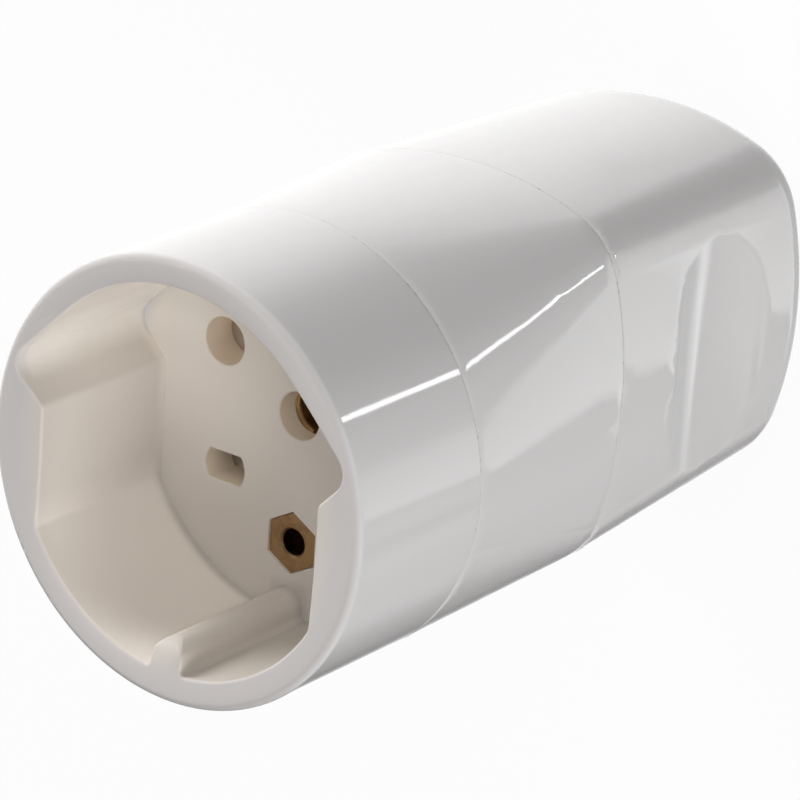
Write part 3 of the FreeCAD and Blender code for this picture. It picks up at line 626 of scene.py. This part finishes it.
def steel(name, colour, roughness):
    """Drawn steel: fine marks along the piece, small dull spots, and painted shade, a dark rough colour, on the
    screw's end in the nut
    """
    material = bpy.data.materials.new(name)
    sheet = Sheet(material)
    spot = sheet.place()
    height = sheet.parts(spot)[2]
    # Painted shade: steel high up, at the screw's end in the nut, near-black and rougher
    nut_hole_shade = height.rise(SPANS["nut_hole_shade"], RIM)
    lines = sheet.noise(sheet.stretched(spot, DRAWN), BLOTCHES["steel lines"])
    spots = sheet.noise(spot, BLOTCHES["steel spots"], detail=4.0, roughness=0.65).rise(SPOT_LEVELS)
    dull = SHARES["steel spots"] * spots + SHARES["steel lines"] * lines
    bare = sheet.mix(dull, rgba(colour), rgba(tinted(colour, TINTS["steel spots"])))
    marked = roughness + ROUGHNESS["steel spots"] * spots + ROUGHNESS["steel lines"] * lines
    sheet.surface({
        "Base Color": sheet.mix(nut_hole_shade, bare, rgba(NUT_HOLE_SHADE_COLOUR)),
        "Metallic": 1.0,
        "Roughness": marked + ROUGHNESS["nut_hole_shade"] * nut_hole_shade,
        "Normal": sheet.bump(lines, BUMPS["steel"]),
    })
    return material


def clamp_plastic(look):
    """Matte moulding with a fine spark-eroded texture"""
    material = bpy.data.materials.new("clamp_plastic_matte")
    sheet = Sheet(material)
    spot = sheet.place()
    grain = sheet.noise(spot, BLOTCHES["clamp grain"], detail=3.0, roughness=0.6)
    clouds = sheet.noise(spot, BLOTCHES["clamp clouds"])
    shaded = tinted(look.colour, TINTS["clamp clouds"])
    sheet.surface({
        "Base Color": sheet.mix(SHARES["clamp clouds"] * clouds, rgba(look.colour), rgba(shaded)),
        "Roughness": ROUGHNESS["clamp"] + ROUGHNESS["clamp grain"] * grain,
        "Normal": sheet.bump(grain, BUMPS["clamp"]),
    })
    return material


def rim_faces(shape):
    """Faces of the rim while it is still flat"""
    return [
        face for face in shape.faces
        if face.normal.z > LEVEL_NORMAL and face.calc_center_median().z > RIM - LEVEL_DEPTH
    ]


def refine_rim(shape, lowest, grid):
    """Cut the rim's faces into triangles about as long as the grid, and its edges to match"""
    by_cuts = {}
    for edge in shape.edges:
        if min(vert.co.z for vert in edge.verts) > lowest:
            by_cuts.setdefault(math.ceil(edge.calc_length() / grid) - 1, []).append(edge)
    for cuts, edges in by_cuts.items():
        if cuts > 0:
            bmesh.ops.bisect_edges(shape, edges=edges, cuts=cuts)
    crowded = [f for f in shape.faces if len(f.verts) > 4 and min(v.co.z for v in f.verts) > lowest]
    bmesh.ops.triangulate(shape, faces=crowded, quad_method="BEAUTY", ngon_method="BEAUTY")
    for _ in range(GRID_ROUNDS):
        faces = set(rim_faces(shape))
        inner = [e for e in shape.edges if e.link_faces and all(near in faces for near in e.link_faces)]
        long = [e for e in inner if e.calc_length() > GRID_SLACK * grid]
        if not long:
            break
        bmesh.ops.subdivide_edges(shape, edges=long, cuts=1)
        bmesh.ops.triangulate(shape, faces=rim_faces(shape), quad_method="BEAUTY", ngon_method="BEAUTY")


def crown_rim(shape):
    """Let the flat rim fall towards the recess, and round off the key rib's front end"""
    look = bpy.context.scene.connector_shell
    lowest = RIM - look.rim_edge
    refine_rim(shape, lowest, look.rim_grid)
    for vert in shape.verts:
        spot = vert.co
        if spot.z < lowest:
            continue
        inward = max(look.rim_crest - math.hypot(spot.x, spot.y), 0)
        drop = math.tan(look.rim_tilt) * (math.hypot(inward, look.rim_blend) - look.rim_blend)
        if abs(spot.x) < look.rib_reach and spot.y < look.rib_crest + RIB_MARGIN:
            rise = (spot.y - look.rib_foot) / (look.rib_crest - look.rib_foot)
            rise = min(max(rise, 0), RIB_STEEPEST)
            drop = max(drop, look.rib_nose * (1 - math.sqrt(1 - rise * rise)))
        spot.z -= drop


def smooth_copy(node, name, material, change=None):
    """A merged, smoothly shaded copy that stands for a CAD node"""
    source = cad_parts.get(node)
    if source is None:
        raise RuntimeError(f"the packed model has no node {node}")
    mesh = source.data.copy()
    mesh.name = name
    shape = bmesh.new()
    shape.from_mesh(mesh)
    bmesh.ops.remove_doubles(shape, verts=shape.verts, dist=MERGE_DISTANCE)
    bmesh.ops.dissolve_degenerate(shape, edges=shape.edges, dist=SLIVER_LENGTH)
    bmesh.ops.dissolve_limit(
        shape, angle_limit=FLAT_ANGLE, use_dissolve_boundaries=False, verts=shape.verts, edges=shape.edges,
        delimit=set(),
    )
    if change:
        change(shape)
    for face in shape.faces:
        face.smooth = True
    shape.to_mesh(mesh)
    shape.free()
    mesh.set_sharp_from_angle(angle=SMOOTH_ANGLE)
    piece = bpy.data.objects.new(name, mesh)
    bpy.context.scene.collection.objects.link(piece)
    mesh.materials.clear()
    mesh.materials.append(material)
    normals = piece.modifiers.new("Even shading", "WEIGHTED_NORMAL")
    normals.keep_sharp = True
    normals.mode = "FACE_AREA_WITH_ANGLE"
    normals.weight = NORMAL_WEIGHT
    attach(piece, BODY)
    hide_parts(node)


class CONNECTOR_OT_shell(bpy.types.Operator):
    """Dress the front housing, the contact carrier and the rear housing in gloss plastic, with painted shade and
    painted light in the recess
    """

    bl_idname = "connector.shell"
    bl_label = "Shell Mouldings"

    def execute(self, context):
        material = shell_plastic(context.scene.connector_shell)
        for node in SHELLS:
            change = crown_rim if node == "front_housing" else None
            smooth_copy(node, node + "_moulding", material, change)
        return {"FINISHED"}


class CONNECTOR_OT_contacts(bpy.types.Operator):
    """Dress the sleeves, the forks and their terminals in turned brass"""

    bl_idname = "connector.contacts"
    bl_label = "Contacts"

    def execute(self, context):
        turned = brass(context.scene.connector_metal, "contact_brass_turned")
        for node in SLEEVES + FORKS + TERMINALS:
            smooth_copy(node, node + "_turned", turned)
        return {"FINISHED"}


class CONNECTOR_OT_springs(bpy.types.Operator):
    """Dress the spring rings and clips in bare spring steel"""

    bl_idname = "connector.springs"
    bl_label = "Springs"

    def execute(self, context):
        bare = steel("spring_steel_bare", context.scene.connector_metal.spring, ROUGHNESS["spring"])
        for node in SPRINGS:
            smooth_copy(node, node + "_drawn", bare)
        return {"FINISHED"}


class CONNECTOR_OT_fasteners(bpy.types.Operator):
    """Dress the hexagon nut in turned brass and the screws in plated steel"""

    bl_idname = "connector.fasteners"
    bl_label = "Nut and Screws"

    def execute(self, context):
        look = context.scene.connector_metal
        low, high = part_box("hex_nut")
        middle = (low + high) / 2
        faced = brass(look, "nut_brass_faced", (middle.x, middle.y), NUT_DULLNESS, NUT_TONE)
        smooth_copy("hex_nut", "hex_nut_faced", faced)
        plated = steel("screw_steel_plated", look.steel, ROUGHNESS["screw"])
        for node in SCREWS:
            smooth_copy(node, node + "_plated", plated)
        return {"FINISHED"}


class CONNECTOR_OT_clamp(bpy.types.Operator):
    """Dress the cord clamp's bar in matte plastic"""

    bl_idname = "connector.clamp"
    bl_label = "Cord Clamp"

    def execute(self, context):
        material = clamp_plastic(context.scene.connector_clamp)
        smooth_copy("cord_clamp_bar", "cord_clamp_bar_moulding", material)
        return {"FINISHED"}


def area_lamp(name, level):
    """Square lamp, out of sight, that throws that level on a face square to it at the part's middle"""
    towards, size = LAMPS[name]
    data = bpy.data.lights.new(name, "AREA")
    data.shape = "SQUARE"
    data.size = size
    data.energy = math.pi * LAMP_DISTANCE * LAMP_DISTANCE * level
    lamp = bpy.data.objects.new(name, data)
    bpy.context.scene.collection.objects.link(lamp)
    aim = Vector(towards).normalized()
    lamp.location = Vector((0, 0, RIM / 2)) + aim * LAMP_DISTANCE
    lamp.rotation_euler = aim.to_track_quat("Z", "Y").to_euler()
    lamp.visible_camera = False
    lamp.visible_glossy = False


def floor_material(look):
    """White for the camera, with a share of the lamps' light and shadow; duller for bounced light"""
    material = bpy.data.materials.new("floor_white")
    sheet = Sheet(material)
    seen = sheet.out("ShaderNodeLightPath", output="Is Camera Ray")
    paint = sheet.mix(seen, rgba(FLOOR_BOUNCE), rgba(WHITE))
    matte = sheet.add("ShaderNodeBsdfDiffuse", None, {"Color": paint})
    glow = sheet.add("ShaderNodeEmission", None, {"Color": rgba(WHITE), "Strength": 1.0})
    both = sheet.add(
        "ShaderNodeMixShader", None,
        {0: seen * (1 - look.shadow), 1: matte.outputs[0], 2: glow.outputs[0]},
    )
    sheet.add("ShaderNodeOutputMaterial", None, {"Surface": both.outputs[0]})
    return material


def heading(turn, rise):
    """Direction from a turn round the axis and a rise, in degrees"""
    turn, rise = math.radians(turn), math.radians(rise)
    return Vector((math.cos(rise) * math.cos(turn), math.cos(rise) * math.sin(turn), math.sin(rise)))


def studio_world(look):
    """Pale room: white behind the part, dim as a light, with a soft box, a narrow lamp and darker zones for gloss"""
    world = bpy.data.worlds.new("studio")
    sheet = Sheet(world)
    aim = sheet.out("ShaderNodeTexCoord", output="Generated")
    x, y, z = sheet.parts(aim)

    def along(direction):
        return sheet.out("ShaderNodeVectorMath", {"operation": "DOT_PRODUCT"}, {0: aim, 1: direction}, "Value")

    first, last = [heading(*end) for end in STRIP_ENDS]
    half = math.cos(first.angle(last) / 2)
    strip = abs(along(first.cross(last).normalized())).fall(STRIP_EDGE)
    strip = strip * along((first + last).normalized()).rise((0, STRIP_END_FADE), half)

    raised = y - BOX_RAISE * z.fall(ZONES["raise"])
    box = (y - BOX_SLANT * x).rise(ZONES["box foot"]) * raised.fall(ZONES["box top"])
    box = box * x.rise(ZONES["box left"]) * x.fall(ZONES["box right"])
    band = y.rise(ZONES["band foot"]) * y.fall(ZONES["band top"])
    band = band * x.rise(ZONES["band left"]) * x.fall(ZONES["band right"])
    shade = y.rise(ZONES["shade foot"]) * x.rise(ZONES["shade left"])
    under = y.fall(ZONES["under top"]) * (1 - LEVELS["under"] * x.rise(ZONES["under left"]))
    low = y.fall(ZONES["low top"]) * x.rise(ZONES["low left"]) * x.fall(ZONES["low right"])
    above = z.rise(ZONES["above"])
    room = LEVELS["room"] + LEVELS["left"] * x.fall(ZONES["left"])
    dim = (1 - LEVELS["shade"] * shade) * (1 - LEVELS["low"] * low) * (1 - under) * (1 - LEVELS["above"] * above)
    lights = LEVELS["box"] * box + LEVELS["band"] * band + LEVELS["strip"] * strip
    shown = room * dim + lights * (1 - above)

    path = sheet.add("ShaderNodeLightPath")
    glossy = Value(sheet, path.outputs["Is Glossy Ray"])
    camera = Value(sheet, path.outputs["Is Camera Ray"])
    level = camera + (1 - camera) * (glossy * shown + (1 - glossy) * look.room_level)
    back = sheet.add("ShaderNodeBackground", None, {"Color": rgba(WHITE), "Strength": level})
    sheet.add("ShaderNodeOutputWorld", None, {"Surface": back.outputs[0]})
    return world


class CONNECTOR_OT_stage(bpy.types.Operator):
    """Set the floor, the lamps, the room and the camera"""

    bl_idname = "connector.stage"
    bl_label = "Stage"

    def execute(self, context):
        look = context.scene.connector_stage
        mesh = bpy.data.meshes.new("floor")
        shape = bmesh.new()
        bmesh.ops.create_grid(shape, x_segments=1, y_segments=1, size=look.floor_size / 2)
        shape.to_mesh(mesh)
        shape.free()
        floor = bpy.data.objects.new("floor", mesh)
        mesh.materials.append(floor_material(look))
        context.scene.collection.objects.link(floor)
        floor.visible_glossy = False

        area_lamp("key_lamp", look.key_level)
        area_lamp("fill_lamp", look.fill_level)
        area_lamp("front_lamp", look.front_level)
        context.scene.world = studio_world(look)

        data = bpy.data.cameras.new("photo_camera")
        data.sensor_width = SENSOR_WIDTH
        data.lens = look.lens
        camera = bpy.data.objects.new("photo_camera", data)
        camera.matrix_world = Matrix.Translation(CAMERA_PLACE) @ Matrix(CAMERA_TURN).to_4x4()
        context.scene.collection.objects.link(camera)
        context.scene.camera = camera
        context.scene.view_settings.view_transform = "Standard"
        return {"FINISHED"}


class CONNECTOR_PT_panel(bpy.types.Panel):
    """Lists the connector's looks and the steps that make them"""

    bl_idname = "CONNECTOR_PT_panel"
    bl_label = "Inline Socket Connector"
    bl_space_type = "VIEW_3D"
    bl_region_type = "UI"
    bl_category = "Connector"

    def draw(self, context):
        for name in LOOKS:
            box = self.layout.box()
            group = getattr(context.scene, name)
            for key in group.__annotations__:
                box.prop(group, key)
        for operator in OPERATORS:
            self.layout.operator(operator.bl_idname)


LOOKS = {
    "connector_shell": ShellLook,
    "connector_metal": MetalLook,
    "connector_clamp": ClampLook,
    "connector_stage": StageLook,
}
OPERATORS = (
    CONNECTOR_OT_shell,
    CONNECTOR_OT_contacts,
    CONNECTOR_OT_springs,
    CONNECTOR_OT_fasteners,
    CONNECTOR_OT_clamp,
    CONNECTOR_OT_stage,
)
CLASSES = (*LOOKS.values(), *OPERATORS, CONNECTOR_PT_panel)


def register():
    for cls in CLASSES:
        bpy.utils.register_class(cls)
    for name, group in LOOKS.items():
        setattr(bpy.types.Scene, name, PointerProperty(type=group))


def unregister():
    for name in LOOKS:
        delattr(bpy.types.Scene, name)
    for cls in reversed(CLASSES):
        bpy.utils.unregister_class(cls)


def main():
    register()
    bpy.ops.connector.shell()
    bpy.ops.connector.contacts()
    bpy.ops.connector.springs()
    bpy.ops.connector.fasteners()
    bpy.ops.connector.clamp()
    bpy.ops.connector.stage()


if __name__ == "__main__":
    main()
